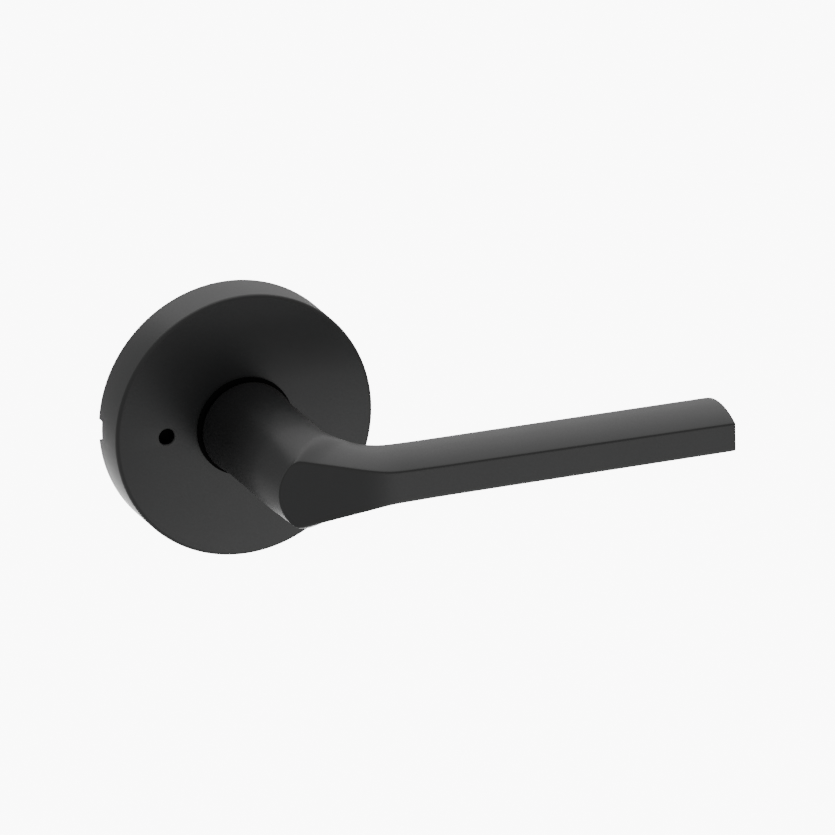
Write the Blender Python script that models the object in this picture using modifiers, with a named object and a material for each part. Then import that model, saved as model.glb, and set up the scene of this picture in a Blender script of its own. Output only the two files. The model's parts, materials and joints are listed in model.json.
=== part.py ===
"""Outside half of a round-rose privacy door lever, modelled as an assembly.

Every piece is modelled as if the door lay flat: x runs along the lever, y is up the door
and z stands out from the door's face. One empty, door_face, turns the whole assembly upright,
so that in the world +X runs along the lever, +Z is up and the handle points towards -Y.
"""

import math

import bmesh
import bpy
from mathutils import Matrix, Vector

MM = 0.001
GAP = 0.3  # room between pieces that touch on the real object

# Driving dimensions, in millimetres, with heights measured out from the door's face.
ROSE_RADIUS = 33.35
ROSE_HEIGHT = 12.0
ROSE_WALL = 1.2
ROSE_EDGE = 0.9
ROSE_HOLE_RADIUS = 12.0
PINHOLE_X = -20.2
PINHOLE_RADIUS = 2.15
PRY_NOTCH_WIDTH = 5.3
PRY_NOTCH_DEPTH = 2.1

NECK_RADIUS = 11.25
NECK_FLARE_RADIUS = 11.75
NECK_BASE_HEIGHT = 14.1
BORE_TOP = 38.3

LEVER_END_X = 105.9
FRONT_HEIGHT = 67.9
FACET_SLOPE = 0.25
FACET_BEND_X = 13.4  # where the facet's plane meets the grip's flat
FACET_BEND_HALF = 4.0
RIM_X = -10.6  # where the facet's round rim is farthest from the grip
RIM_RADIUS = 11.4
CORNER_X = -7.8  # where the rim turns into the facet's long edges
TAPER_START = (-6.2, 8.75)  # a place on the facet's tapering edge, and half the facet there
TAPER_END_X = 16.3
TAPER_ROUNDING = 0.3  # softens the bend where the facet's taper becomes the grip
CORNER_ROUNDING = 0.4
GRIP_HALF = (3.85, 3.5)  # half the front flat's height, at the neck and at the tip
GRIP_CROWN = 2.3
CREST_SHARE = 0.46  # how far the sides' crest lies from the back, as a share of the depth
BACK_EXTRA = 0.6  # how much higher the back corners stand than the front's
GRIP_DEPTH = (17.6, 18.4)  # front to back, at the neck and at the tip
FILLET_LENGTH = 12.0
FILLET_HEIGHT = 6.0
GRIP_START_X = NECK_RADIUS + FILLET_LENGTH

PLATE_RADIUS = 29.5
PLATE_THICKNESS = 2.2
PLATE_HOLE_RADIUS = 9.6
POST_SPACING = 38.1
POST_LENGTH = 20.0
TUBE_RADIUS = 7.6
TUBE_FLAT = 6.9
TUBE_FRONT = 38.0
TUBE_BACK = -4.0
SPINDLE_HALF = 3.8
SPINDLE_FRONT = 23.0
SPINDLE_BACK = -48.0
CROSS_PIN_HEIGHT = 20.0
SET_SCREW_HEIGHT = 30.0

CAM_BOTTOM = 8.3
CAM_TOP = 9.5
TAB_INNER = 17.4
TAB_OUTER = 19.8
TAB_HALF = 2.6
STOP_PIN_RADIUS = 2.0
ANCHOR_X = 14.3
LEVER_TRAVEL = 45.0
SPRING_MEAN_RADIUS = 10.5
SPRING_WIRE = 0.5

CLIP_ANGLES = (0, 120, 240)
CLIP_SCREW_RADIUS = 24.8
RELEASE_HEAD_TOP = 9.9
RELEASE_PIN_BACK = -19.5

# Finish of each material: base colour, roughness, metallic.
FINISHES = {
    "black_coat": ((0.022, 0.022, 0.024), 0.42, 0.5),
    "black_nylon": ((0.012, 0.012, 0.013), 0.55, 0.0),
    "white_nylon": ((0.78, 0.77, 0.72), 0.45, 0.0),
    "zinc_steel": ((0.62, 0.62, 0.60), 0.34, 1.0),
    "spring_steel": ((0.34, 0.34, 0.35), 0.30, 1.0),
}


def new_collection(name):
    collection = bpy.data.collections.new(name)
    bpy.context.scene.collection.children.link(collection)
    return collection


def make_materials():
    made = {}
    for name, (colour, roughness, metallic) in FINISHES.items():
        material = bpy.data.materials.new(name)
        material.use_nodes = True
        shader = material.node_tree.nodes["Principled BSDF"]
        shader.inputs["Base Color"].default_value = (*colour, 1.0)
        shader.inputs["Roughness"].default_value = roughness
        shader.inputs["Metallic"].default_value = metallic
        made[name] = material
    return made


def frame_empty(name, parent=None, place=(0.0, 0.0, 0.0)):
    empty = bpy.data.objects.new(name, None)
    PARTS.objects.link(empty)
    empty.parent = parent
    empty.location = [c * MM for c in place]
    return empty


def link_part(obj, material, parent):
    PARTS.objects.link(obj)
    obj.parent = parent
    obj.data.materials.append(MATERIALS[material])
    return obj


def mesh_from(bm, name):
    """Mesh in metres from a bmesh in millimetres."""
    bmesh.ops.recalc_face_normals(bm, faces=bm.faces)
    bmesh.ops.scale(bm, vec=(MM, MM, MM), verts=bm.verts)
    mesh = bpy.data.meshes.new(name)
    bm.to_mesh(mesh)
    bm.free()
    return mesh


def add_rod(bm, radius, low, high, x=0.0, y=0.0, sides=24):
    """Closed cylinder along z added to a bmesh."""
    place = Matrix.Translation((x, y, (low + high) / 2))
    bmesh.ops.create_cone(
        bm, cap_ends=True, segments=sides, radius1=radius, radius2=radius,
        depth=high - low, matrix=place,
    )


def add_cross_rod(bm, radius, low, high, z, sides=16):
    """Closed cylinder along y, through the spindle's axis at height z."""
    place = Matrix.Translation((0.0, (low + high) / 2, z)) @ Matrix.Rotation(math.pi / 2, 4, "X")
    bmesh.ops.create_cone(
        bm, cap_ends=True, segments=sides, radius1=radius, radius2=radius,
        depth=high - low, matrix=place,
    )


def add_box(bm, low, high):
    size = [b - a for a, b in zip(low, high)]
    middle = [(a + b) / 2 for a, b in zip(low, high)]
    place = Matrix.Translation(middle) @ Matrix.Diagonal((*size, 1.0))
    bmesh.ops.create_cube(bm, size=1.0, matrix=place)


def cut(obj, bm, operation="DIFFERENCE", suffix="cutter"):
    """Cuts the shapes in a bmesh, given in the object's own frame, from the object."""
    tool = bpy.data.objects.new(f"{obj.name}_{suffix}", mesh_from(bm, f"{obj.name}_{suffix}"))
    CUTTERS.objects.link(tool)
    tool.parent = obj.parent
    tool.matrix_basis = obj.matrix_basis
    tool.hide_render = True
    tool.display_type = "WIRE"
    step = obj.modifiers.new(suffix, "BOOLEAN")
    step.operation = operation
    step.object = tool
    step.solver = "EXACT"


def bevel(obj, width, segments=1, angle=40.0):
    step = obj.modifiers.new("Edges", "BEVEL")
    step.width = width * MM
    step.segments = segments
    step.limit_method = "ANGLE"
    step.angle_limit = math.radians(angle)


def turned(name, profile, material, parent, sides=40, at=(0.0, 0.0)):
    """A turned piece: (radius, height) points run down its outer side, then up its inner side."""
    mesh = bpy.data.meshes.new(name)
    points = [(r * MM, 0.0, z * MM) for r, z in profile]
    edges = [(i, i + 1) for i in range(len(points) - 1)]
    if profile[0][0] > 0:
        edges.append((len(points) - 1, 0))
    mesh.from_pydata(points, edges, [])
    obj = link_part(bpy.data.objects.new(name, mesh), material, parent)
    obj.location = (at[0] * MM, at[1] * MM, 0.0)
    screw = obj.modifiers.new("Turn", "SCREW")
    screw.axis = "Z"
    screw.steps = sides
    screw.render_steps = sides
    screw.use_merge_vertices = True
    screw.merge_threshold = 0.00001
    return obj


def arc_points(centre, radius, start, end, count):
    """Points on an arc, with angles in degrees."""
    angles = [math.radians(start + (end - start) * i / count) for i in range(count + 1)]
    return [(centre[0] + radius * math.cos(a), centre[1] + radius * math.sin(a)) for a in angles]


def polar(radius, degrees):
    angle = math.radians(degrees)
    return radius * math.cos(angle), radius * math.sin(angle)


def wire(name, points, radius, material, parent, at=(0.0, 0.0)):
    """A bent wire through the points, as a curve with a round bevel and closed ends."""
    curve = bpy.data.curves.new(name, "CURVE")
    curve.dimensions = "3D"
    curve.bevel_depth = radius * MM
    curve.bevel_resolution = 2
    curve.use_fill_caps = True
    spline = curve.splines.new("POLY")
    spline.points.add(len(points) - 1)
    for knot, point in zip(spline.points, points):
        knot.co = (*(c * MM for c in point), 1.0)
    obj = link_part(bpy.data.objects.new(name, curve), material, parent)
    obj.location = (at[0] * MM, at[1] * MM, 0.0)
    return obj


def flat_curve(name, outlines, low, high, material, parent):
    """Flat outlines in x and y given thickness along z; an outline inside another is a hole."""
    curve = bpy.data.curves.new(name, "CURVE")
    curve.dimensions = "2D"
    curve.fill_mode = "BOTH"
    curve.extrude = (high - low) / 2 * MM
    for outline in outlines:
        spline = curve.splines.new("POLY")
        spline.use_cyclic_u = True
        spline.points.add(len(outline) - 1)
        for knot, (x, y) in zip(spline.points, outline):
            knot.co = (x * MM, y * MM, 0.0, 1.0)
    obj = link_part(bpy.data.objects.new(name, curve), material, parent)
    obj.location = (0.0, 0.0, (low + high) / 2 * MM)
    return obj


def as_mesh(obj):
    """The same piece as a mesh with its caps welded, so that a Boolean can use it."""
    bpy.context.view_layer.update()
    graph = bpy.context.evaluated_depsgraph_get()
    mesh = bpy.data.meshes.new_from_object(obj.evaluated_get(graph))
    bm = bmesh.new()
    bm.from_mesh(mesh)
    bmesh.ops.remove_doubles(bm, verts=bm.verts, dist=0.01 * MM)
    bmesh.ops.recalc_face_normals(bm, faces=bm.faces)
    bm.to_mesh(mesh)
    bm.free()
    name, parent, place = obj.name, obj.parent, obj.matrix_world.copy()
    bpy.data.objects.remove(obj)
    made = bpy.data.objects.new(name, mesh)
    PARTS.objects.link(made)
    made.parent = parent
    made.matrix_world = place
    return made


# --- the rose and what holds it ---


def make_rose_cover(parent):
    """Deep round cap with a crisp edge, an axle hole, the release pinhole and a pry notch."""
    inner = ROSE_RADIUS - ROSE_WALL
    ceiling = ROSE_HEIGHT - ROSE_WALL
    centre = (ROSE_RADIUS - ROSE_EDGE, ROSE_HEIGHT - ROSE_EDGE)
    profile = [(ROSE_HOLE_RADIUS, ROSE_HEIGHT), *arc_points(centre, ROSE_EDGE, 90, 0, 3)]
    profile += [(ROSE_RADIUS, 0.0), (inner, 0.0), (inner, ceiling), (ROSE_HOLE_RADIUS, ceiling)]
    cover = turned("rose_cover", profile, "black_coat", parent, sides=72)
    half = PRY_NOTCH_WIDTH / 2
    bm = bmesh.new()
    add_rod(bm, PINHOLE_RADIUS, ceiling - 1.0, ROSE_HEIGHT + 1.0, x=PINHOLE_X)
    add_box(bm, (-ROSE_RADIUS - 1.0, -half, -1.0), (2.0 - inner, half, PRY_NOTCH_DEPTH))
    cut(cover, bm)


def make_neck_collar(parent):
    """Black nylon ring that lines the rose's hole and stands a little proud of it."""
    top, shoulder, bottom = ROSE_HEIGHT + 0.9, ROSE_HEIGHT + GAP, CAM_TOP + 0.4
    body, lip, bore = ROSE_HOLE_RADIUS - GAP, ROSE_HOLE_RADIUS + 0.35, TUBE_RADIUS + 0.4
    profile = [(bore, top), (lip - 0.25, top), (lip, top - 0.25), (lip, shoulder)]
    profile += [(body, shoulder), (body, bottom), (bore, bottom)]
    turned("neck_collar", profile, "black_nylon", parent)
    low, high = top + GAP, NECK_BASE_HEIGHT - GAP
    washer = [(bore, high), (10.9, high), (10.9, low), (bore, low)]
    turned("thrust_washer", washer, "spring_steel", parent)


def travel_stop_places():
    """Where the two pins stand that end the lever's travel, by its cam's tab meeting them."""
    radius = (TAB_INNER + TAB_OUTER) / 2
    clear = math.degrees(math.asin((TAB_HALF + STOP_PIN_RADIUS + 0.4) / radius))
    return [polar(radius, LEVER_TRAVEL + clear), polar(radius, -LEVER_TRAVEL - clear)]


def make_mounting_plate(parent):
    """Plated disc with a turned-up rim, drilled for everything that is fixed to it."""
    rim, edge = 3.6, PLATE_RADIUS - 1.4
    profile = [(edge + 0.4, rim), (PLATE_RADIUS, rim - 0.6), (PLATE_RADIUS, 0.0)]
    profile += [(PLATE_HOLE_RADIUS, 0.0), (PLATE_HOLE_RADIUS, PLATE_THICKNESS)]
    profile += [(edge, PLATE_THICKNESS), (edge, rim - 0.4)]
    plate = turned("mounting_plate", profile, "zinc_steel", parent, sides=60)
    holes = [(PINHOLE_X, 0.0, 3.6), (ANCHOR_X, 0.0, 1.3)]
    holes += [(0.0, side * POST_SPACING / 2, 3.5) for side in (1, -1)]
    holes += [(x, y, 1.3) for x, y in travel_stop_places()]
    holes += [(*polar(CLIP_SCREW_RADIUS, angle), 1.3) for angle in CLIP_ANGLES]
    bm = bmesh.new()
    for x, y, radius in holes:
        add_rod(bm, radius, -1.0, PLATE_THICKNESS + 1.0, x=x, y=y, sides=20)
    cut(plate, bm)


def make_plate_pins(parent):
    """The return spring's anchor and the two travel stops, riveted into the plate."""
    places = [(ANCHOR_X, 0.0), *travel_stop_places()]
    names = ("spring_anchor_pin", "travel_stop_upper", "travel_stop_lower")
    for name, place, radius in zip(names, places, (TAB_HALF, STOP_PIN_RADIUS, STOP_PIN_RADIUS)):
        foot, top = PLATE_THICKNESS + GAP, CAM_BOTTOM - 0.4
        profile = [(0.0, top), (radius - 0.3, top), (radius, top - 0.3)]
        profile += [(radius, foot), (1.0, foot), (1.0, GAP), (0.0, GAP)]
        turned(name, profile, "zinc_steel", parent, sides=20, at=place)


def make_spindle_bush(parent):
    top, shoulder, bottom = PLATE_THICKNESS + 1.0, PLATE_THICKNESS + GAP, 0.2
    bore, body = TUBE_RADIUS + GAP, PLATE_HOLE_RADIUS - GAP
    profile = [(bore, top), (11.0, top), (11.0, shoulder), (body, shoulder)]
    profile += [(body, bottom), (bore, bottom)]
    turned("spindle_bush", profile, "white_nylon", parent)


def make_bolt_posts(parent):
    """Threaded barrels, staked in the plate, that take the through bolts from inside."""
    head, back = PLATE_THICKNESS + GAP, -POST_LENGTH
    profile = [(0.0, head + 0.9), (3.6, head + 0.9), (4.2, head + 0.4), (4.2, head)]
    profile += [(3.2, head), (3.2, -GAP), (4.6, -GAP), (4.6, -2.0), (4.0, -2.6)]
    profile += [(4.0, back + 0.6), (3.5, back), (2.4, back), (2.05, back + 0.4)]
    profile += [(2.05, -2.5), (0.0, -1.4)]
    for name, side in (("through_bolt_post_upper", 1), ("through_bolt_post_lower", -1)):
        turned(name, profile, "zinc_steel", parent, sides=24, at=(0.0, side * POST_SPACING / 2))


def make_cover_clips(parent):
    """Three bent spring-steel clips that grip the inside of the rose, each with its screw."""
    foot, half_width = PLATE_THICKNESS + GAP, 4.0
    outline = [(22.6, foot), (27.6, foot), (27.6, 4.4), (31.4, 6.4), (28.6, 9.0)]
    outline += [(28.1, 8.6), (30.5, 6.4), (27.0, 4.8), (27.0, foot + 0.6), (22.6, foot + 0.6)]
    upright = Matrix.Rotation(math.pi / 2, 4, "X")
    seat = foot + 0.6 + GAP
    screw_profile = [(0.0, seat + 1.3), (1.3, seat + 1.3), (2.0, seat + 0.7), (2.0, seat)]
    screw_profile += [(1.0, seat), (1.0, GAP), (0.0, GAP)]
    for number, angle in enumerate(CLIP_ANGLES, start=1):
        strip = flat_curve(
            f"cover_clip_{number}", [outline], -half_width, half_width, "spring_steel", parent
        )
        strip.matrix_basis = Matrix.Rotation(math.radians(angle), 4, "Z") @ upright
        clip = as_mesh(strip)
        bm = bmesh.new()
        turn = Matrix.Rotation(math.pi / 2, 4, "X")
        place = Matrix.Translation((CLIP_SCREW_RADIUS, foot, 0.0)) @ turn
        bmesh.ops.create_cone(
            bm, cap_ends=True, segments=20, radius1=1.3, radius2=1.3, depth=4.0, matrix=place
        )
        cut(clip, bm)
        at = polar(CLIP_SCREW_RADIUS, angle)
        screw = turned(
            f"cover_clip_screw_{number}", screw_profile, "zinc_steel", parent, sides=20, at=at
        )
        bm = bmesh.new()
        add_box(bm, (-2.5, -0.3, seat + 0.7), (2.5, 0.3, seat + 2.0))
        cut(screw, bm)


def make_release_guide(parent):
    """Flanged nylon sleeve that the emergency-release pin slides in."""
    profile = [(1.7, 3.3), (5.0, 3.3), (5.0, 2.5), (3.3, 2.5), (3.3, -2.4), (1.7, -2.4)]
    turned("release_guide", profile, "white_nylon", parent, sides=24, at=(PINHOLE_X, 0.0))


# --- the lever and what turns with it ---


def front_height(x):
    """Height of the front surface: the facet, a smooth bend, then the grip's flat."""
    along = x - FACET_BEND_X
    if along < -FACET_BEND_HALF:
        return FRONT_HEIGHT + FACET_SLOPE * along
    if along > FACET_BEND_HALF:
        return FRONT_HEIGHT
    return FRONT_HEIGHT - FACET_SLOPE * (along - FACET_BEND_HALF) ** 2 / (4 * FACET_BEND_HALF)


def front_half(x):
    """Half the height of the front surface: a round rim, a tapering facet, a nearly even grip."""
    if x > GRIP_START_X:
        share = (x - GRIP_START_X) / (LEVER_END_X - GRIP_START_X)
        return GRIP_HALF[0] + (GRIP_HALF[1] - GRIP_HALF[0]) * share
    start_x, start_half = TAPER_START
    taper = (start_half - GRIP_HALF[0]) / (TAPER_END_X - start_x)
    excess = (start_half - taper * (x - start_x) - GRIP_HALF[0]) / 2
    half = GRIP_HALF[0] + excess + math.hypot(excess, TAPER_ROUNDING)
    if x > 0.0:
        return half
    rim = math.sqrt(max(RIM_RADIUS**2 - (x - RIM_X - RIM_RADIUS) ** 2, 0.0))
    return (half + rim) / 2 - math.hypot((half - rim) / 2, CORNER_ROUNDING)


def through_points(first, middle, last, count):
    """Points on the circular arc through three points in space, from first to last."""
    a, b, c = Vector(first), Vector(middle), Vector(last)
    normal = (b - a).cross(c - a)
    if normal.length < 1e-4:
        return [a.lerp(c, i / count) for i in range(count + 1)]
    ab, ac = b - a, c - a
    offset = ac.length_squared * normal.cross(ab) - ab.length_squared * normal.cross(ac)
    centre = a + offset / (2.0 * normal.length_squared)
    spoke = a - centre
    normal.normalize()
    side = normal.cross(spoke)
    sweep = math.atan2((c - centre).dot(side), (c - centre).dot(spoke)) % (2 * math.pi)
    turns = [sweep * i / count for i in range(count + 1)]
    return [centre + spoke * math.cos(t) + side * math.sin(t) for t in turns]


def neck_guides(radius, height):
    """Back middle, back corner, crest, front corner and front middle of a ring round the neck."""
    angles = (0.0, 35.0, 80.0, 126.0, 180.0)
    return [(*polar(radius, a), height) for a in angles]


def grip_guides(x):
    """The same five points of a section across the grip."""
    share = (x - GRIP_START_X) / (LEVER_END_X - GRIP_START_X)
    depth = GRIP_DEPTH[0] + (GRIP_DEPTH[1] - GRIP_DEPTH[0]) * share
    half, back = front_half(x), FRONT_HEIGHT - depth
    return [
        (x, 0.0, back),
        (x, half + BACK_EXTRA, back),
        (x, half + GRIP_CROWN, back + depth * CREST_SHARE),
        (x, half, FRONT_HEIGHT),
        (x, 0.0, FRONT_HEIGHT),
    ]


def smooth(share):
    return share * share * (3.0 - 2.0 * share)


def elbow_guides(step, steps, rise_steps):
    """The five points of a section round the elbow, between the neck and the grip."""
    share = step / steps
    turn = math.pi / 2 * share
    neck, grip = neck_guides(NECK_RADIUS, 0.0), grip_guides(GRIP_START_X)
    low = grip[0][2] - FILLET_HEIGHT
    inner_x = GRIP_START_X - FILLET_LENGTH * math.cos(turn)
    inner_z = low + FILLET_HEIGHT * math.sin(turn)
    if step <= rise_steps:
        rise = step / rise_steps
        corner_x = neck[3][0] + (CORNER_X - neck[3][0]) * smooth(rise)
        corner_y = neck[3][1] + (front_half(CORNER_X) - neck[3][1]) * smooth(rise)
        corner_z = low + (front_height(corner_x) - low) * rise
        middle_x = -NECK_RADIUS + (RIM_X + NECK_RADIUS) * smooth(rise)
        middle_z = low + (front_height(middle_x) - low) * rise
    else:
        across = ((step - rise_steps) / (steps - rise_steps)) ** 1.5
        corner_x = CORNER_X + (GRIP_START_X - CORNER_X) * across
        middle_x = RIM_X + (GRIP_START_X - RIM_X) * across
        corner_y, corner_z = front_half(corner_x), front_height(corner_x)
        middle_z = front_height(middle_x)
    blend = smooth(share)
    back_x = inner_x - (neck[0][0] - neck[1][0]) * (1.0 - blend)
    back_y = neck[1][1] + (grip[1][1] - neck[1][1]) * blend
    crest_share = 0.43 + (CREST_SHARE - 0.43) * blend
    crest_x = back_x + (corner_x - back_x) * crest_share
    crest_z = inner_z + (corner_z - inner_z) * crest_share
    chord = math.sqrt(max(NECK_RADIUS**2 - min(abs(crest_x), NECK_RADIUS) ** 2, 0.0))
    bar = front_half(crest_x) + GRIP_CROWN
    crest_y = bar + (math.hypot(chord - bar, 0.9) + chord - bar) / 2
    return [
        (inner_x, 0.0, inner_z),
        (back_x, back_y, inner_z),
        (crest_x, crest_y, crest_z),
        (corner_x, corner_y, corner_z),
        (middle_x, 0.0, middle_z),
    ]


def section_points(guides, on_front):
    """One closed ring through the five guide points and their mirror images."""
    back, corner, crest, edge, front = (Vector(g) for g in guides)
    mirror = Vector((1.0, -1.0, 1.0))
    ring = through_points(corner * mirror, back, corner, 4)[2:-1]
    ring += through_points(corner, crest, edge, 8)[:-1]
    front_arc = through_points(edge, front, edge * mirror, 6)[:4]
    if on_front:
        front_arc = [Vector((p.x, p.y, front_height(p.x))) for p in front_arc]
    ring += front_arc
    return ring + [point * mirror for point in reversed(ring[1:-1])]


def make_lever(parent):
    """Round neck cut by a slanting facet, and a slim grip with a flat front and crowned sides."""
    low = FRONT_HEIGHT - GRIP_DEPTH[0] - FILLET_HEIGHT
    base = NECK_BASE_HEIGHT
    rings = []
    for radius, height in (
        (NECK_FLARE_RADIUS - 0.4, base), (NECK_FLARE_RADIUS, base + 0.4),
        (NECK_FLARE_RADIUS - 0.2, base + 3.0), (NECK_RADIUS, base + 8.0), (NECK_RADIUS, low),
    ):
        rings.append(section_points(neck_guides(radius, height), False))
    steps, rise = 16, 5
    for step in range(1, steps + 1):
        rings.append(section_points(elbow_guides(step, steps, rise), step >= rise))
    for x in (34.0, 52.0, 70.0, 88.0, LEVER_END_X - 0.8):
        rings.append(section_points(grip_guides(x), True))
    tip = [Vector((LEVER_END_X, p.y * 0.87, p.z)) for p in rings[-1]]
    middle = FRONT_HEIGHT - GRIP_DEPTH[1] / 2
    rings.append([Vector((p.x, p.y, middle + (p.z - middle) * 0.93)) for p in tip])
    bm = bmesh.new()
    loops = [[bm.verts.new(point) for point in ring] for ring in rings]
    for first, second in zip(loops, loops[1:]):
        count = len(first)
        for i in range(count):
            j = (i + 1) % count
            bm.faces.new((first[i], first[j], second[j], second[i]))
    bm.faces.new(reversed(loops[0]))
    bm.faces.new(loops[-1])
    lever = link_part(bpy.data.objects.new("lever", mesh_from(bm, "lever")), "black_coat", parent)
    bm = bmesh.new()
    add_rod(bm, TUBE_RADIUS + GAP, base - 1.0, BORE_TOP, sides=40)
    cut(lever, bm, suffix="bore")
    bm = bmesh.new()
    add_cross_rod(bm, 2.5, -NECK_RADIUS - 1.5, -5.0, SET_SCREW_HEIGHT, sides=20)
    cut(lever, bm, suffix="screw_hole")


def make_spindle_tube(parent):
    """Steel tube pinned to the spindle, with flats for the cam and the lever's set screw."""
    back = TUBE_BACK
    profile = [(0.0, TUBE_FRONT), (TUBE_RADIUS - 0.4, TUBE_FRONT), (TUBE_RADIUS, TUBE_FRONT - 0.4)]
    profile += [(TUBE_RADIUS, -1.1), (6.9, -1.1), (6.9, -2.3), (TUBE_RADIUS, -2.3)]
    profile += [(TUBE_RADIUS, back + 0.4), (TUBE_RADIUS - 0.4, back), (0.0, back)]
    tube = turned("spindle_tube", profile, "zinc_steel", parent)
    reach = SPINDLE_HALF + GAP
    bm = bmesh.new()
    add_box(bm, (-reach, -reach, back - 1.0), (reach, reach, TUBE_FRONT + 1.0))
    cut(tube, bm, suffix="square_bore")
    bm = bmesh.new()
    for side in (1, -1):
        low, high = sorted((side * TUBE_FLAT, side * 9.0))
        add_box(bm, (-9.0, low, CAM_BOTTOM - 0.2), (9.0, high, TUBE_FRONT + 1.0))
    cut(tube, bm, suffix="flats")
    bm = bmesh.new()
    add_cross_rod(bm, 1.5, -9.0, 9.0, CROSS_PIN_HEIGHT)
    cut(tube, bm, suffix="pin_hole")


def make_latch_spindle(parent):
    """Square bar that runs back through the latch to the inside lever."""
    half = SPINDLE_HALF
    bm = bmesh.new()
    add_box(bm, (-half, -half, SPINDLE_BACK), (half, half, SPINDLE_FRONT))
    spindle = bpy.data.objects.new("latch_spindle", mesh_from(bm, "latch_spindle"))
    link_part(spindle, "zinc_steel", parent)
    bevel(spindle, 0.5)
    bm = bmesh.new()
    add_cross_rod(bm, 1.5, -9.0, 9.0, CROSS_PIN_HEIGHT)
    cut(spindle, bm)
    bm = bmesh.new()
    add_cross_rod(bm, 1.2, -6.6, 6.6, CROSS_PIN_HEIGHT)
    pin = bpy.data.objects.new("cross_pin", mesh_from(bm, "cross_pin"))
    link_part(pin, "spring_steel", parent)
    bevel(pin, 0.2)


def make_set_screw(parent):
    """Socket set screw in the neck's underside, bearing on the tube's flat."""
    bm = bmesh.new()
    add_cross_rod(bm, 2.2, -NECK_RADIUS + 0.6, -TUBE_FLAT - GAP, SET_SCREW_HEIGHT, sides=24)
    screw = bpy.data.objects.new("set_screw", mesh_from(bm, "set_screw"))
    link_part(screw, "spring_steel", parent)
    bevel(screw, 0.25)
    bm = bmesh.new()
    add_cross_rod(bm, 1.2, -NECK_RADIUS - 1.0, -NECK_RADIUS + 2.2, SET_SCREW_HEIGHT, sides=6)
    cut(screw, bm)


def make_drive_cam(parent):
    """Disc keyed to the tube, with a finger whose bent tab pushes the return spring."""
    half = TAB_HALF
    turn = math.degrees(math.asin(half / 12.6))
    outline = arc_points((0.0, 0.0), 12.6, turn, 360.0 - turn, 36)
    outline += [(TAB_OUTER, -half), (TAB_OUTER, half)]
    flat = TUBE_FLAT + GAP
    bore = TUBE_RADIUS + GAP
    corner = math.degrees(math.asin(flat / bore))
    hole = arc_points((0.0, 0.0), bore, -corner, corner, 8)
    hole += arc_points((0.0, 0.0), bore, 180.0 - corner, 180.0 + corner, 8)
    cam = as_mesh(flat_curve("drive_cam", [outline, hole], CAM_BOTTOM, CAM_TOP, "zinc_steel", parent))
    middle = (CAM_BOTTOM + CAM_TOP) / 2
    bm = bmesh.new()
    add_box(bm, (TAB_INNER, -half + 0.05, 3.3 - middle), (TAB_OUTER - 0.05, half - 0.05, 0.1))
    cut(cam, bm, operation="UNION", suffix="tab")


def make_retaining_ring(parent):
    """Washer behind the plate, and the open ring in the tube's groove that holds it there."""
    washer = [(TUBE_RADIUS + GAP, -0.3), (11.5, -0.3), (11.5, -0.9), (TUBE_RADIUS + GAP, -0.9)]
    turned("retaining_washer", washer, "spring_steel", parent)
    outline = arc_points((0.0, 0.0), 9.3, 20, 340, 32)
    outline += arc_points((0.0, 0.0), 7.2, 340, 20, 32)
    flat_curve("retaining_ring", [outline], -2.0, -1.4, "spring_steel", parent)


def make_return_spring(parent):
    """Torsion spring round the tube; its two legs straddle the anchor pin and the cam's tab."""
    low, high, radius = 3.9, 7.3, SPRING_MEAN_RADIUS
    reach = TAB_HALF + GAP + SPRING_WIRE
    coil = []
    count = 60
    for i in range(count + 1):
        x, y = polar(radius, 90.0 + 900.0 * i / count)
        coil.append((x, y, low + (high - low) * i / count))
    start = [(20.6, reach, low), (13.4, reach, low), (6.8, radius - 0.9, low), (3.0, radius, low)]
    end = [(3.0, -radius, high), (6.8, 0.9 - radius, high), (13.4, -reach, high), (20.6, -reach, high)]
    wire("return_spring", start + coil + end, SPRING_WIRE, "spring_steel", parent)


# --- the emergency release ---


def make_release_pin(parent):
    """Headed pin behind the rose's pinhole; pushed in, it unlocks the latch."""
    top, back = RELEASE_HEAD_TOP, RELEASE_PIN_BACK
    profile = [(0.0, top), (2.3, top), (2.6, top - 0.3), (2.6, top - 1.0), (1.4, top - 1.0)]
    profile += [(1.4, -2.6), (1.0, -2.6), (1.0, -3.5), (1.4, -3.5), (1.4, back + 0.6)]
    profile += [(0.9, back), (0.0, back)]
    turned("release_pin", profile, "black_nylon", parent, sides=20)
    outline = arc_points((0.0, 0.0), 2.8, 25, 335, 20) + arc_points((0.0, 0.0), 1.25, 335, 25, 20)
    flat_curve("release_pin_clip", [outline], -3.35, -2.8, "spring_steel", parent)


def make_release_spring(parent):
    """Compression spring between the guide's flange and the pin's head."""
    low, high, radius, wire_radius = 3.9, 8.35, 2.15, 0.22
    turns, count = 4, 64
    points = []
    for i in range(count + 1):
        x, y = polar(radius, 360.0 * turns * i / count)
        points.append((x, y, low + (high - low) * i / count))
    wire("release_spring", points, wire_radius, "spring_steel", parent, at=(PINHOLE_X, 0.0))


for old in list(bpy.data.objects):
    bpy.data.objects.remove(old)

PARTS = new_collection("door_lever")
CUTTERS = new_collection("cutters")
MATERIALS = make_materials()

DOOR_FACE = frame_empty("door_face")
DOOR_FACE.rotation_euler = (math.pi / 2, 0.0, 0.0)
LEVER_AXIS = frame_empty("lever_axis", DOOR_FACE)
RELEASE_AXIS = frame_empty("release_axis", DOOR_FACE, (PINHOLE_X, 0.0, 0.0))

make_rose_cover(DOOR_FACE)
make_neck_collar(DOOR_FACE)
make_mounting_plate(DOOR_FACE)
make_plate_pins(DOOR_FACE)
make_spindle_bush(DOOR_FACE)
make_bolt_posts(DOOR_FACE)
make_cover_clips(DOOR_FACE)
make_release_guide(DOOR_FACE)

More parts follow.
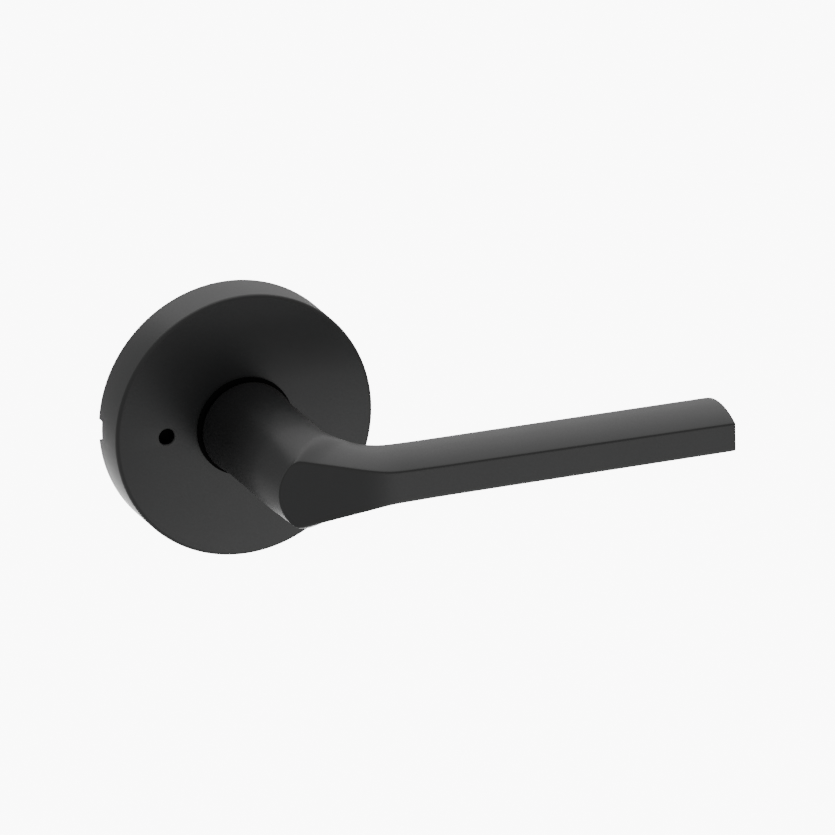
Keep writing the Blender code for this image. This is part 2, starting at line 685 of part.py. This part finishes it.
make_lever(LEVER_AXIS)
make_spindle_tube(LEVER_AXIS)
make_latch_spindle(LEVER_AXIS)
make_set_screw(LEVER_AXIS)
make_drive_cam(LEVER_AXIS)
make_retaining_ring(LEVER_AXIS)
make_return_spring(DOOR_FACE)

make_release_pin(RELEASE_AXIS)
make_release_spring(DOOR_FACE)

for part in PARTS.objects:
    if part.type == "MESH":
        part.data.shade_smooth()
        part.data.set_sharp_from_angle(angle=math.radians(35))
bpy.context.view_layer.update()
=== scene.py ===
# %% [markdown]
# # A privacy door lever, outside half
#
# This notebook dresses the mechanical model of a black door lever: a deep round rose, a round
# neck cut by a slanting facet, and a slim grip. The pieces that a hand or an eye meets are
# modelled afresh at high detail. The small works behind the rose keep their mechanical shape
# and get real finishes. The handle's lengths are in millimetres here and become metres in the
# meshes; the studio's are in metres.

# %% Load the frame
import math

import bmesh
import bpy
from mathutils import Matrix, Vector
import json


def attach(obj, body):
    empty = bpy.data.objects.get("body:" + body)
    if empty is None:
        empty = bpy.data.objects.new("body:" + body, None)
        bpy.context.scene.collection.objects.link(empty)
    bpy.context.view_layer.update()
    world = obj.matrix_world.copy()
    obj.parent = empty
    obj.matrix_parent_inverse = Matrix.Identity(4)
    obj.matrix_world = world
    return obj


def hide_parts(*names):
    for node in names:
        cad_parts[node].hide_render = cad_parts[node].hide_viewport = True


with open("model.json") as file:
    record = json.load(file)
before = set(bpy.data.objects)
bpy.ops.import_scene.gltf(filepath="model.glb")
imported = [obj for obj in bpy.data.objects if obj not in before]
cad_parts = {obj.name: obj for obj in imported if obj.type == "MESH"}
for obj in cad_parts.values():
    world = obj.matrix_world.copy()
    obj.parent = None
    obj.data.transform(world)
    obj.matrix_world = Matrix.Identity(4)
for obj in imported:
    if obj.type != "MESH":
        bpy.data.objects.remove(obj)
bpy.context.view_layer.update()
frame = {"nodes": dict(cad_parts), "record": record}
MM = 0.001

# %% [markdown]
# ## Small helpers for working as by hand
#
# Every operator in Blender acts on what is selected, so each step starts by clearing the
# selection. In edit mode, points and faces are then picked by where they are, which is what
# a box selection does with the mouse. When a piece is done, its place goes into its mesh, so
# that its object sits at the origin and the materials' patterns line up with the real size.

# %% Selecting, finishing and riding
def deselect_all():
    if bpy.context.mode != "OBJECT":
        bpy.ops.object.mode_set(mode="OBJECT")
    bpy.ops.object.select_all(action="DESELECT")


def name_new(name):
    piece = bpy.context.object
    piece.name = name
    piece.data.name = name
    return piece


def edit(kind="FACE"):
    bpy.ops.object.mode_set(mode="EDIT")
    bpy.ops.mesh.select_mode(type=kind)
    bpy.ops.mesh.select_all(action="DESELECT")


def pick_faces(piece, test):
    """Selects the faces whose centre and normal, in millimetres of the world, pass the test."""
    bm = bmesh.from_edit_mesh(piece.data)
    count = 0
    for face in bm.faces:
        centre = piece.matrix_world @ face.calc_center_median() / MM
        face.select = bool(test(centre, face.normal))
        count += face.select
    bm.select_flush_mode()
    bmesh.update_edit_mesh(piece.data)
    return count


def pick_edges(piece, test):
    """Selects the edges whose two ends, in millimetres of the world, both pass the test."""
    bm = bmesh.from_edit_mesh(piece.data)
    count = 0
    for edge in bm.edges:
        ends = [piece.matrix_world @ vert.co / MM for vert in edge.verts]
        edge.select = all(test(end) for end in ends)
        count += edge.select
    bm.select_flush_mode()
    bmesh.update_edit_mesh(piece.data)
    return count


def apply_all(piece):
    bpy.context.view_layer.objects.active = piece
    for step in list(piece.modifiers):
        bpy.ops.object.modifier_apply(modifier=step.name)


def place_in_mesh(piece):
    deselect_all()
    piece.select_set(True)
    bpy.context.view_layer.objects.active = piece
    bpy.ops.object.transform_apply(location=True, rotation=True, scale=True)


def finish_piece(piece, material, body, node, smooth=30):
    """Applies the modifiers, shades, coats and mounts a piece in place of its CAD node."""
    apply_all(piece)
    place_in_mesh(piece)
    bpy.ops.object.shade_smooth_by_angle(angle=math.radians(smooth))
    piece.data.materials.clear()
    piece.data.materials.append(material)
    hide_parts(node)
    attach(piece, body)
    triangles = sum(len(face.vertices) - 2 for face in piece.data.polygons)
    print(f"{piece.name}: {triangles} triangles, rides on {body}")
    return piece


# %% [markdown]
# ## Finishes
#
# A coat of black powder or lacquer is never one flat colour. It has a very fine grain that
# you only see close up, and its gloss drifts a little from place to place where the spray was
# thicker. Both come from noise on Object coordinates, so they stay the same size on every
# piece. The helper below makes the nodes; each finish then says its own grain and colours.

# %% A shader with grain
DRIFT_COARSER = 40
FINE_SHARE = 0.4
GRAIN_HEIGHT = 0.03


def shader_with_grain(name, dark, light, roughness, grain, bump, metallic=0.0, shine=0.5):
    """Principled material whose colour and roughness drift with noise, plus a fine bump."""
    material = bpy.data.materials.new(name)
    material.use_nodes = True
    nodes, links = material.node_tree.nodes, material.node_tree.links
    shader = nodes["Principled BSDF"]
    shader.inputs["Metallic"].default_value = metallic
    shader.inputs["Specular IOR Level"].default_value = shine
    place = nodes.new("ShaderNodeTexCoord")
    drift = nodes.new("ShaderNodeTexNoise")
    drift.inputs["Scale"].default_value = grain / DRIFT_COARSER
    drift.inputs["Detail"].default_value = 4.0
    fine = nodes.new("ShaderNodeTexNoise")
    fine.inputs["Scale"].default_value = grain
    fine.inputs["Detail"].default_value = 3.0
    for noise in (drift, fine):
        links.new(place.outputs["Object"], noise.inputs["Vector"])
    colour = nodes.new("ShaderNodeValToRGB")
    colour.color_ramp.elements[0].position = 0.35
    colour.color_ramp.elements[0].color = (*dark, 1.0)
    colour.color_ramp.elements[1].position = 0.65
    colour.color_ramp.elements[1].color = (*light, 1.0)
    links.new(drift.outputs["Fac"], colour.inputs["Fac"])
    links.new(colour.outputs["Color"], shader.inputs["Base Color"])
    gloss = nodes.new("ShaderNodeMapRange")
    gloss.inputs["From Min"].default_value = 0.3
    gloss.inputs["From Max"].default_value = 0.7
    gloss.inputs["To Min"].default_value = roughness[0]
    gloss.inputs["To Max"].default_value = roughness[1]
    blend = nodes.new("ShaderNodeMix")
    blend.inputs["Factor"].default_value = FINE_SHARE
    links.new(drift.outputs["Fac"], blend.inputs["A"])
    links.new(fine.outputs["Fac"], blend.inputs["B"])
    links.new(blend.outputs["Result"], gloss.inputs["Value"])
    links.new(gloss.outputs["Result"], shader.inputs["Roughness"])
    relief = nodes.new("ShaderNodeBump")
    relief.inputs["Strength"].default_value = bump
    relief.inputs["Distance"].default_value = GRAIN_HEIGHT * MM
    links.new(fine.outputs["Fac"], relief.inputs["Height"])
    links.new(relief.outputs["Normal"], shader.inputs["Normal"])
    print("finish:", name)
    return material


# %% [markdown]
# The visible metal is coated black with a soft satin sheen. The works behind are zinc-plated
# steel with a faint mottle, dark spring steel and moulded nylon.

# %% Five finishes
black_coat = shader_with_grain(
    "black_coat", (0.0050, 0.0051, 0.0054), (0.0066, 0.0067, 0.0071), (0.36, 0.42), 2600, 0.10
)
# Nearly pure black with almost no sheen: partly the nylon's own colour, partly painted shade for
# the shadowed gap between neck and rose.
black_nylon = shader_with_grain(
    "black_nylon", (0.001, 0.001, 0.001), (0.002, 0.002, 0.002), (0.70, 0.85), 1500, 0.2, shine=0.05
)
white_nylon = shader_with_grain(
    "white_nylon", (0.72, 0.71, 0.66), (0.80, 0.79, 0.75), (0.38, 0.50), 900, 0.15
)
zinc_steel = shader_with_grain(
    "zinc_steel", (0.50, 0.51, 0.52), (0.66, 0.66, 0.65), (0.26, 0.42), 1400, 0.2, metallic=1.0
)
spring_steel = shader_with_grain(
    "spring_steel", (0.22, 0.22, 0.235), (0.34, 0.34, 0.35), (0.28, 0.40), 1800, 0.2, metallic=1.0
)
finishes = {
    "black_coat": black_coat,
    "black_nylon": black_nylon,
    "white_nylon": white_nylon,
    "zinc_steel": zinc_steel,
    "spring_steel": spring_steel,
}

# %% Give the mechanical pieces their finishes
slot_of = {part["node"]: part["material_slot"] for part in frame["record"]["subparts"]}
for node_name, node in frame["nodes"].items():
    for material_slot in node.material_slots:
        material_slot.material = finishes[slot_of[node_name]]
print("coated", len(frame["nodes"]), "mechanical pieces")

# %% [markdown]
# ## The rose
#
# The rose is a deep drawn cap: a flat face, a tightly rolled edge and a straight wall back to
# the door. It could be spun from a profile, but a cylinder is quicker: its back is removed,
# its face is inset to leave the hole for the neck, and Solidify gives the sheet its thickness
# after the edge has been rounded. Its faces stay flat and its wall stays true.

# %% Cap, face hole and rolled edge
ROSE_RADIUS = 33.35
ROSE_HEIGHT = 12.0
ROSE_WALL = 1.2
ROSE_EDGE = 0.9
ROSE_HOLE_RADIUS = 12.0

deselect_all()
bpy.ops.mesh.primitive_cylinder_add(
    vertices=192, radius=ROSE_RADIUS * MM, depth=ROSE_HEIGHT * MM,
    location=(0, -ROSE_HEIGHT / 2 * MM, 0), rotation=(math.pi / 2, 0, 0),
)
rose = name_new("rose_shell")
place_in_mesh(rose)
edit()
pick_faces(rose, lambda c, n: n.y > 0.9)
bpy.ops.mesh.delete(type="FACE")
pick_faces(rose, lambda c, n: n.y < -0.9)
bpy.ops.mesh.inset(thickness=(ROSE_RADIUS - ROSE_HOLE_RADIUS) * MM, use_boundary=True)
bpy.ops.mesh.delete(type="FACE")
bpy.ops.mesh.select_mode(type="EDGE")
picked = pick_edges(rose, lambda p: p.y < 0.1 - ROSE_HEIGHT and p.xz.length > ROSE_RADIUS - 0.1)
bpy.ops.mesh.bevel(offset=ROSE_EDGE * MM, segments=6, profile=0.5, affect="EDGES")
deselect_all()
print("rolled edge on", picked, "edges")

# %% Sheet thickness, pinhole and pry notch
wall = rose.modifiers.new("Sheet", "SOLIDIFY")
wall.thickness = ROSE_WALL * MM
wall.offset = -1.0
wall.use_even_offset = True
apply_all(rose)

PINHOLE_X = -20.2
PINHOLE_RADIUS = 2.0
PINHOLE_CHAMFER = 0.35
PINHOLE_MOUTH = 1.18
NOTCH_DEPTH, NOTCH_LENGTH, NOTCH_HEIGHT = 6.0, 4.2, 5.3
NOTCH_CORNER = 0.4
DRILL_DEPTH = 6.0


def carve(piece, tool):
    """Takes the tool's shape out of the piece and throws the tool away."""
    step = piece.modifiers.new("Carve", "BOOLEAN")
    step.object = tool
    step.solver = "EXACT"
    apply_all(piece)
    bpy.data.objects.remove(tool)
    deselect_all()


deselect_all()
bpy.ops.mesh.primitive_cylinder_add(
    vertices=48, radius=PINHOLE_RADIUS * MM, depth=DRILL_DEPTH * MM,
    location=(PINHOLE_X * MM, -ROSE_HEIGHT * MM, 0), rotation=(math.pi / 2, 0, 0),
)
drill = name_new("drill")
place_in_mesh(drill)
edit()
pick_faces(drill, lambda c, n: n.y < -0.9)
bpy.ops.transform.translate(value=(0, DRILL_DEPTH / 2 * MM, 0))
bpy.ops.mesh.extrude_region_move(
    TRANSFORM_OT_translate={"value": (0, -PINHOLE_CHAMFER * MM, 0)}
)
bpy.ops.transform.resize(value=(PINHOLE_MOUTH, 1.0, PINHOLE_MOUTH))
bpy.ops.mesh.extrude_region_move(TRANSFORM_OT_translate={"value": (0, -2 * MM, 0)})
deselect_all()
drill.location.y = 0.2 * MM
place_in_mesh(drill)
carve(rose, drill)

bpy.ops.mesh.primitive_cube_add(size=1, location=(-ROSE_RADIUS * MM, 0, 0))
notch_tool = name_new("notch_tool")
notch_tool.scale = (NOTCH_DEPTH * MM, NOTCH_LENGTH * MM, NOTCH_HEIGHT * MM)
place_in_mesh(notch_tool)
edit("EDGE")
pick_edges(notch_tool, lambda p: p.y < -2.0)
bpy.ops.mesh.bevel(offset=NOTCH_CORNER * MM, segments=3, affect="EDGES")
carve(rose, notch_tool)
finish_piece(rose, black_coat, "rose", "rose_cover")

# %% [markdown]
# ## The lever
#
# Round where it leaves the door, flat-fronted where it is held: a shape between two unlike
# sections. A sweep along a bent path can't change its section like this, and a block carved
# with cutters would leave a hard line where neck and grip meet. So one ring of points is
# extruded again and again, and each time its points are pulled to the next section. Five guide
# points say what a section is: middle of the back, back corner, crest, front corner and middle
# of the front. Arcs join them, so the section goes from a circle to a flat bar with crowned
# sides in one smooth skin.

# %% Sizes of the lever
NECK_RADIUS = 11.25
NECK_FLARE_RADIUS = 11.75
NECK_BASE = 14.1
LEVER_END = 105.9
FRONT = 67.9
FACET_SLOPE = 0.25
BEND_MIDDLE = 13.4
BEND_HALF = 4.0
RIM_X = -10.6
RIM_RADIUS = 11.4
CORNER_X = -7.8
CORNER_ROUNDING = 0.4
TAPER_START = (-6.2, 8.75)
TAPER_END_X = 16.3
TAPER_ROUNDING = 0.3
GRIP_HALF = (3.85, 3.5)
CROWN = 2.3
CREST_SHARE = 0.46
NECK_CREST_SHARE = 0.43
WAIST = 0.55
WAIST_ROUNDING = 1.8
BACK_EXTRA = 0.6
DEPTH = (17.6, 18.4)
FILLET = (12.0, 6.0)
FILLET_FOOT = FRONT - DEPTH[0] - FILLET[1]
GRIP_START = NECK_RADIUS + FILLET[0]

# %% The front surface: a facet, a smooth bend and the grip's flat
def front_height(x):
    """How far the front stands from the door at x along the lever."""
    along = x - BEND_MIDDLE
    if along < -BEND_HALF:
        return FRONT + FACET_SLOPE * along
    if along > BEND_HALF:
        return FRONT
    return FRONT - FACET_SLOPE * (along - BEND_HALF) ** 2 / (4 * BEND_HALF)


def front_half(x):
    """Half the front's width at x: the neck's rim, a taper down the facet, a nearly even grip."""
    if x > GRIP_START:
        share = (x - GRIP_START) / (LEVER_END - GRIP_START)
        return GRIP_HALF[0] + (GRIP_HALF[1] - GRIP_HALF[0]) * share
    start_x, start_half = TAPER_START
    taper = (start_half - GRIP_HALF[0]) / (TAPER_END_X - start_x)
    excess = (start_half - taper * (x - start_x) - GRIP_HALF[0]) / 2
    half = GRIP_HALF[0] + excess + math.hypot(excess, TAPER_ROUNDING)
    if x > 0:
        return half
    rim = math.sqrt(max(RIM_RADIUS**2 - (x - RIM_X - RIM_RADIUS) ** 2, 0))
    return (half + rim) / 2 - math.hypot((half - rim) / 2, CORNER_ROUNDING)


for x in (-6, 0, 10, 20, 60):
    print(f"x {x}: front {front_height(x):.2f} from the door, half width {front_half(x):.2f}")

# %% Guide points round the neck, across the grip and round the elbow
def polar(radius, degrees):
    angle = math.radians(degrees)
    return radius * math.cos(angle), radius * math.sin(angle)


def neck_guides(radius, height):
    return [(*polar(radius, a), height) for a in (0, 35, 80, 126, 180)]


def grip_guides(x):
    share = (x - GRIP_START) / (LEVER_END - GRIP_START)
    depth = DEPTH[0] + (DEPTH[1] - DEPTH[0]) * share
    half, back = front_half(x), FRONT - depth
    crest = (x, half + CROWN, back + depth * CREST_SHARE)
    return [(x, 0, back), (x, half + BACK_EXTRA, back), crest, (x, half, FRONT), (x, 0, FRONT)]


def ease(share):
    """Starts and ends gently on its way from 0 to 1."""
    return share * share * (3 - 2 * share)


def elbow_guides(step, steps, rise_steps):
    """Section number step of the elbow; the first rise_steps climb to the facet's rim."""
    turn = math.pi / 2 * step / steps
    neck, grip = neck_guides(NECK_RADIUS, 0), grip_guides(GRIP_START)
    inner_x = GRIP_START - FILLET[0] * math.cos(turn)
    inner_z = FILLET_FOOT + FILLET[1] * math.sin(turn)
    if step <= rise_steps:
        rise = step / rise_steps
        corner_x = neck[3][0] + (CORNER_X - neck[3][0]) * ease(rise)
        corner_y = neck[3][1] + (front_half(CORNER_X) - neck[3][1]) * ease(rise)
        corner_z = FILLET_FOOT + (front_height(corner_x) - FILLET_FOOT) * rise
        middle_x = -NECK_RADIUS + (RIM_X + NECK_RADIUS) * ease(rise)
        middle_z = FILLET_FOOT + (front_height(middle_x) - FILLET_FOOT) * rise
    else:
        across = ((step - rise_steps) / (steps - rise_steps)) ** 1.5
        corner_x = CORNER_X + (GRIP_START - CORNER_X) * across
        corner_y, corner_z = front_half(corner_x), front_height(corner_x)
        middle_x = RIM_X + (GRIP_START - RIM_X) * across
        middle_z = front_height(middle_x)
    share = ease(step / steps)
    back_x = inner_x - (neck[0][0] - neck[1][0]) * (1 - share)
    back_y = neck[1][1] + (grip[1][1] - neck[1][1]) * share
    middle_share = NECK_CREST_SHARE + (CREST_SHARE - NECK_CREST_SHARE) * share
    crest_x = back_x + (corner_x - back_x) * middle_share
    crest_z = inner_z + (corner_z - inner_z) * middle_share
    waist = NECK_RADIUS - WAIST * share
    chord = math.sqrt(max(waist**2 - crest_x**2, 0))
    bar = front_half(crest_x) + CROWN
    crest_y = bar + (math.hypot(chord - bar, WAIST_ROUNDING * share) + chord - bar) / 2
    return [
        (inner_x, 0, inner_z), (back_x, back_y, inner_z), (crest_x, crest_y, crest_z),
        (corner_x, corner_y, corner_z), (middle_x, 0, middle_z),
    ]


# %% From five guide points to a whole section
BACK_STEPS, SIDE_STEPS, FRONT_STEPS = 4, 16, 6


def arc_through(first, middle, last, count):
    """Points on the circle through three points in space, or on a line if they're in one."""
    a, b, c = Vector(first), Vector(middle), Vector(last)
    normal = (b - a).cross(c - a)
    if normal.length < 1e-4:
        return [a.lerp(c, i / count) for i in range(count + 1)]
    ab, ac = b - a, c - a
    offset = ac.length_squared * normal.cross(ab) - ab.length_squared * normal.cross(ac)
    centre = a + offset / (2 * normal.length_squared)
    spoke = a - centre
    side = normal.normalized().cross(spoke)
    sweep = math.atan2((c - centre).dot(side), (c - centre).dot(spoke)) % (2 * math.pi)
    turns = [sweep * i / count for i in range(count + 1)]
    return [centre + spoke * math.cos(t) + side * math.sin(t) for t in turns]


def section(guides, on_front):
    """A closed ring of points in the world, in metres."""
    back, corner, crest, edge, front = (Vector(g) for g in guides)
    mirror = Vector((1, -1, 1))
    ring = arc_through(corner * mirror, back, corner, 2 * BACK_STEPS)[BACK_STEPS:-1]
    ring += arc_through(corner, crest, edge, SIDE_STEPS)[:-1]
    front_arc = arc_through(edge, front, edge * mirror, 2 * FRONT_STEPS)[: FRONT_STEPS + 1]
    if on_front:
        front_arc = [Vector((p.x, p.y, front_height(p.x))) for p in front_arc]
    ring += front_arc
    ring += [point * mirror for point in reversed(ring[1:-1])]
    return [Vector((p.x, -p.z, p.y)) * MM for p in ring]


print("points in a section:", len(section(grip_guides(60), True)))

# %% [markdown]
# The first ring is a circle at the foot of the neck. A number stored on each point says its
# place in the ring; the extruded copies inherit it, so every new ring knows where each of its
# points belongs. The rings lie close together round the elbow and wide apart on the grip.

# %% List the sections
sections = []
for radius, height in (
    (NECK_FLARE_RADIUS, NECK_BASE), (NECK_FLARE_RADIUS, NECK_BASE + 0.6),
    (NECK_FLARE_RADIUS - 0.13, NECK_BASE + 2.5), (NECK_RADIUS + 0.12, NECK_BASE + 5.5),
    (NECK_RADIUS, NECK_BASE + 8.5), (NECK_RADIUS, 33.0), (NECK_RADIUS, FILLET_FOOT),
):
    sections.append(section(neck_guides(radius, height), False))
STEPS, RISE = 36, 12
for step in range(1, STEPS + 1):
    sections.append(section(elbow_guides(step, STEPS, RISE), step >= RISE))
for x in (29, 35, 45, 60, 75, 90, 101, LEVER_END):
    sections.append(section(grip_guides(x), True))
print(len(sections), "sections")

# %% Extrude the skin from section to section
deselect_all()
bpy.ops.mesh.primitive_circle_add(
    vertices=len(sections[0]), radius=NECK_RADIUS * MM,
    location=(0, -NECK_BASE * MM, 0), rotation=(math.pi / 2, 0, 0),
)
lever = name_new("lever_body")
place_in_mesh(lever)
edit("VERT")
bm = bmesh.from_edit_mesh(lever.data)
place_layer = bm.verts.layers.int.new("place")
start = min(bm.verts, key=lambda v: (v.co - sections[0][0]).length)
walk = [start]
onward = min(
    (edge.other_vert(start) for edge in start.link_edges),
    key=lambda v: (v.co - sections[0][1]).length,
)
while onward is not start:
    walk.append(onward)
    onward = next(
        e.other_vert(onward) for e in onward.link_edges if e.other_vert(onward) is not walk[-2]
    )
for number, vert in enumerate(walk):
    vert[place_layer] = number
    vert.co = sections[0][number]
bmesh.update_edit_mesh(lever.data)
bpy.ops.mesh.select_all(action="SELECT")
for points in sections[1:]:
    bpy.ops.mesh.extrude_region_move()
    bm = bmesh.from_edit_mesh(lever.data)
    place_layer = bm.verts.layers.int["place"]
    for vert in bm.verts:
        if vert.select:
            vert.co = points[vert[place_layer]]
    bmesh.update_edit_mesh(lever.data)
bpy.ops.mesh.edge_face_add()
print(len(bmesh.from_edit_mesh(lever.data).faces), "faces in the skin")

# %% Bore the neck and close it
BORE_RADIUS = 7.9
BORE_TOP = 38.3
bpy.ops.mesh.select_all(action="DESELECT")
bpy.ops.mesh.select_mode(type="EDGE")
pick_edges(lever, lambda p: p.y > -NECK_BASE - 0.01)
bpy.ops.mesh.extrude_region_move()
shrink = BORE_RADIUS / NECK_FLARE_RADIUS
bpy.ops.transform.resize(value=(shrink, 1, shrink), center_override=(0, -NECK_BASE * MM, 0))
bpy.ops.mesh.extrude_region_move(
    TRANSFORM_OT_translate={"value": (0, -(BORE_TOP - NECK_BASE) * MM, 0)}
)
bpy.ops.mesh.edge_face_add()
bpy.ops.mesh.select_all(action="SELECT")
bpy.ops.mesh.normals_make_consistent(inside=False)
deselect_all()

# %% [markdown]
# The coat softens the edges that a hand meets to a third of a millimetre, and that soft edge is
# what catches the light. Those edges are picked by their sharpness and bevelled. The two edges
# at the neck's foot stay crisp, so they get a crease instead, which keeps them sharp when one
# level of subdivision turns the skin between the sections into a smooth surface.

# %% Soften the edges and smooth the skin
SOFT_EDGE = 0.33
SHARP_ANGLE = 38

edit("EDGE")
pick_edges(lever, lambda p: abs(p.y + NECK_BASE) < 0.01)
bpy.ops.transform.edge_crease(value=1.0)
bpy.ops.mesh.select_all(action="DESELECT")
bpy.ops.mesh.edges_select_sharp(sharpness=math.radians(SHARP_ANGLE))
bm = bmesh.from_edit_mesh(lever.data)
for edge in bm.edges:
    if min(vert.co.y for vert in edge.verts) > -(BORE_TOP + 1) * MM:
        edge.select = False
bm.select_flush_mode()
bmesh.update_edit_mesh(lever.data)
bpy.ops.mesh.bevel(offset=SOFT_EDGE * MM, segments=3, profile=0.5, affect="EDGES")
deselect_all()
skin = lever.modifiers.new("Smooth skin", "SUBSURF")
skin.levels = 1
skin.render_levels = 1
apply_all(lever)

# %% Set screw's hole in the neck's underside
SET_SCREW_FROM_DOOR = 30.0
SET_SCREW_HOLE_RADIUS = 2.5
deselect_all()
bpy.ops.mesh.primitive_cylinder_add(
    vertices=48, radius=SET_SCREW_HOLE_RADIUS * MM, depth=8 * MM,
    location=(0, -SET_SCREW_FROM_DOOR * MM, -10 * MM),
)
screw_drill = name_new("screw_drill")
place_in_mesh(screw_drill)
carve(lever, screw_drill)
finish_piece(lever, black_coat, "lever", "lever", smooth=35)

# %% [markdown]
# ## Collar and thrust washer
#
# Between neck and rose sits a black nylon ring that lines the hole, with a thin steel washer
# on top of it. Both are turned shapes. A small rectangle, with its corners cut back, is spun
# once round the spindle's axis, and the seam where the spin meets its start is merged. The
# collar's top is then widened into a thin lip that covers the edge of the hole, so no light
# comes through the gap. The ring is coloured nearly pure black with almost no sheen. That is
# partly the nylon's own black and partly painted shade for the dark gap under the neck.

# %% Spin a ring from its section
def spun_ring(name, inner, outer, low, high, edge, steps=128):
    deselect_all()
    bpy.ops.mesh.primitive_plane_add(
        size=MM, location=((inner + outer) / 2 * MM, -(low + high) / 2 * MM, 0)
    )
    ring = name_new(name)
    ring.scale = (outer - inner, high - low, 1)
    place_in_mesh(ring)
    edit("VERT")
    bpy.ops.mesh.select_all(action="SELECT")
    bpy.ops.mesh.bevel(offset=edge * MM, segments=3, affect="VERTICES")
    bpy.ops.mesh.select_all(action="SELECT")
    bpy.ops.mesh.delete(type="ONLY_FACE")
    bpy.ops.mesh.select_all(action="SELECT")
    bpy.ops.mesh.spin(steps=steps, angle=math.tau, center=(0, 0, 0), axis=(0, 1, 0))
    bpy.ops.mesh.select_all(action="SELECT")
    bpy.ops.mesh.remove_doubles(threshold=0.001 * MM)
    bpy.ops.mesh.normals_make_consistent(inside=False)
    deselect_all()
    return ring


COLLAR_TOP = 12.05
LIP_SPREAD = 1.07
LIP_THICKNESS = 0.5
collar = spun_ring("bearing_collar", inner=8.0, outer=11.7, low=9.9, high=COLLAR_TOP, edge=0.2)
edit()
pick_faces(collar, lambda c, n: n.y < -0.9)
bpy.ops.mesh.extrude_region_move()
bpy.ops.transform.resize(
    value=(LIP_SPREAD, 1, LIP_SPREAD), center_override=(0, -COLLAR_TOP * MM, 0)
)
bpy.ops.mesh.extrude_region_move(TRANSFORM_OT_translate={"value": (0, -LIP_THICKNESS * MM, 0)})
finish_piece(collar, black_nylon, "rose", "neck_collar")
washer = spun_ring("neck_washer", inner=8.0, outer=9.8, low=13.2, high=13.8, edge=0.12)
finish_piece(washer, spring_steel, "rose", "thrust_washer")

# %% [markdown]
# ## Studio
#
# A pale floor with a painted pool of light, and soft light from three panels. Black satin shows
# almost only what it reflects, so the largest panels hang above and behind the lever and only a
# small weak one stands low in front: the front faces stay dark and the edges and turned-away
# surfaces pick up light. The floor's emission paints a round pool of light where the camera
# looks at it, which makes the background nearly white; a smooth step lets the painted glow fade
# out all round.

# %% Floor
FLOOR_LEVEL = -0.62
# The pool of light is painted into the floor's emission: no lamp lights it.
POOL_MIDDLE = (0.65, 1.62, FLOOR_LEVEL)
POOL_CORE, POOL_REACH = 0.5, 1.1
POOL_GLOW, FLOOR_GLOW = 9.0, 0.05

deselect_all()
bpy.ops.mesh.primitive_plane_add(size=24, location=(0, 4, FLOOR_LEVEL))
floor = name_new("floor")
place_in_mesh(floor)
floor_paint = bpy.data.materials.new("floor_with_painted_light_pool")
floor_paint.use_nodes = True
floor_shader = floor_paint.node_tree.nodes["Principled BSDF"]
floor_shader.inputs["Base Color"].default_value = (0.85, 0.85, 0.85, 1)
floor_shader.inputs["Roughness"].default_value = 0.9
floor_shader.inputs["Emission Color"].default_value = (1, 1, 1, 1)
floor_nodes, floor_links = floor_paint.node_tree.nodes, floor_paint.node_tree.links
where = floor_nodes.new("ShaderNodeTexCoord")
reach = floor_nodes.new("ShaderNodeVectorMath")
reach.operation = "DISTANCE"
reach.inputs[1].default_value = POOL_MIDDLE
glow = floor_nodes.new("ShaderNodeMapRange")
glow.interpolation_type = "SMOOTHSTEP"
glow.inputs["From Min"].default_value = POOL_CORE
glow.inputs["From Max"].default_value = POOL_REACH
glow.inputs["To Min"].default_value = POOL_GLOW
glow.inputs["To Max"].default_value = FLOOR_GLOW
floor_links.new(where.outputs["Object"], reach.inputs[0])
floor_links.new(reach.outputs["Value"], glow.inputs["Value"])
floor_links.new(glow.outputs["Result"], floor_shader.inputs["Emission Strength"])
floor.data.materials.append(floor_paint)

# %% Light
ROOM_LIGHT = 0.64


def panel(name, place, size, power, aim=(0.03, -0.03, 0)):
    light = bpy.data.lights.new(name, "AREA")
    light.shape = "RECTANGLE"
    light.size, light.size_y = size
    light.energy = power
    lamp = bpy.data.objects.new(name, light)
    bpy.context.scene.collection.objects.link(lamp)
    lamp.location = place
    lamp.rotation_euler = (Vector(aim) - Vector(place)).to_track_quat("-Z", "Y").to_euler()
    return lamp


room = bpy.data.worlds.new("room")
room.use_nodes = True
room.node_tree.nodes["Background"].inputs["Color"].default_value = (1, 1, 1, 1)
room.node_tree.nodes["Background"].inputs["Strength"].default_value = ROOM_LIGHT
bpy.context.scene.world = room
panel("top_panel", place=(0.3, 0.6, 1.9), size=(3.0, 2.6), power=22)
panel("back_panel", place=(0.7, 1.9, 1.0), size=(3.0, 1.4), power=6.3)
panel("front_panel", place=(0.32, -0.60, -0.38), size=(0.35, 0.35), power=0.65)

# %% Camera
TARGET = Vector((0.0333, -0.042, 0.0071))
DISTANCE = 5.0
AZIMUTH, ELEVATION, ROLL = math.radians(-21.38), math.radians(19.91), math.radians(0.88)
FRAME_WIDTH = 0.201935
SENSOR_WIDTH = 36
lens = bpy.data.cameras.new("camera")
lens.lens = SENSOR_WIDTH * DISTANCE / FRAME_WIDTH
lens.clip_end = 100
camera = bpy.data.objects.new("camera", lens)
bpy.context.scene.collection.objects.link(camera)
away = Vector((
    math.sin(AZIMUTH) * math.cos(ELEVATION), -math.cos(AZIMUTH) * math.cos(ELEVATION),
    math.sin(ELEVATION),
))
camera.location = TARGET + away * DISTANCE
look = (-away).to_track_quat("-Z", "Y").to_matrix()
camera.rotation_euler = (look @ Matrix.Rotation(-ROLL, 3, "Z")).to_euler()
bpy.context.scene.camera = camera
print("lens", round(lens.lens), "mm from", DISTANCE, "m")

# %% Bring the scene up to date
bpy.context.view_layer.update()
